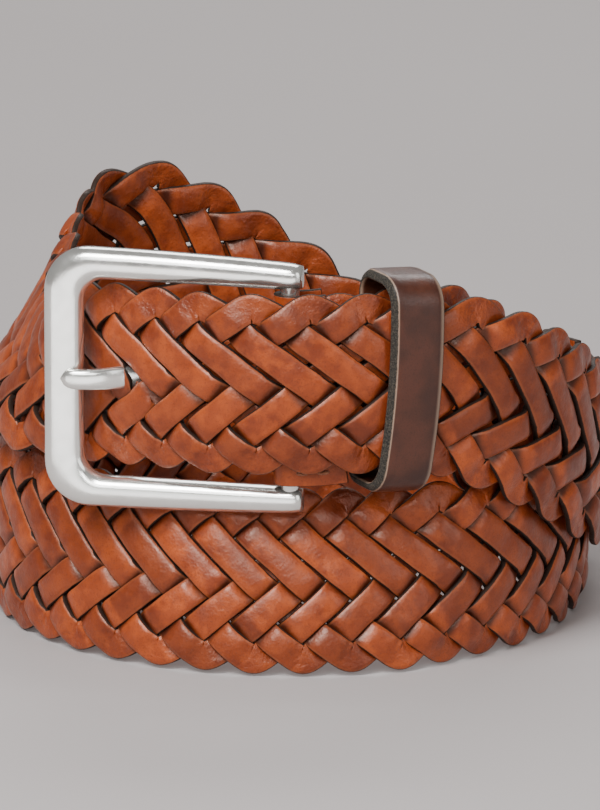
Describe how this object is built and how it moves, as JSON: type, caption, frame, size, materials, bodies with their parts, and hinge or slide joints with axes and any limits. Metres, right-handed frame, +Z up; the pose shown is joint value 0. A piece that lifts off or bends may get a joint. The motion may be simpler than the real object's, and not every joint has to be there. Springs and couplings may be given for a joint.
{
  "type": "leather belt",
  "caption": "Buckled braided leather belt coiled on edge in two turns, with an open metal frame buckle, a prong and a leather keeper loop.",
  "frame": {"origin": "on the floor under the middle of the coiled belt", "axes": "+Z up, -Y towards the buckle's front, +X to the right when facing the buckle"},
  "size_m": [0.124, 0.1292, 0.0805],
  "materials": {
    "belt_leather": "smooth cognac calf, semi-gloss with dark cut edges",
    "keeper_leather": "dark brown, smooth, semi-gloss",
    "thread": "waxed polyester thread",
    "buckle_metal": "satin nickel"
  },
  "bodies": {
    "belt": {"braided_strap": "belt_leather", "chape": "belt_leather", "chape_stitching": "thread", "tip_front": "belt_leather", "tip_back": "belt_leather", "tip_stitching": "thread"},
    "buckle": {"buckle_frame": "buckle_metal", "hinge_bar": "buckle_metal"},
    "tongue": {"prong": "buckle_metal"},
    "loop": {"keeper": "keeper_leather", "keeper_staples": "buckle_metal"}
  },
  "joints": [
    {"name": "buckle_hinge", "type": "hinge", "parent": "belt", "child": "buckle", "pos_m": [0.0002, -0.05681, 0.0555], "axis": [0, 0, 1], "range_deg": [-0.5, 1.5]},
    {"name": "prong_hinge", "type": "hinge", "parent": "buckle", "child": "tongue", "pos_m": [0.0002, -0.05681, 0.0555], "axis": [0, 0, 1], "range_deg": [0, 2]},
    {"name": "keeper_slide", "type": "slide", "parent": "belt", "child": "loop", "axis": [0.8805, 0.4583, -0.1212], "range_m": [-0.001, 0.002]}
  ]
}
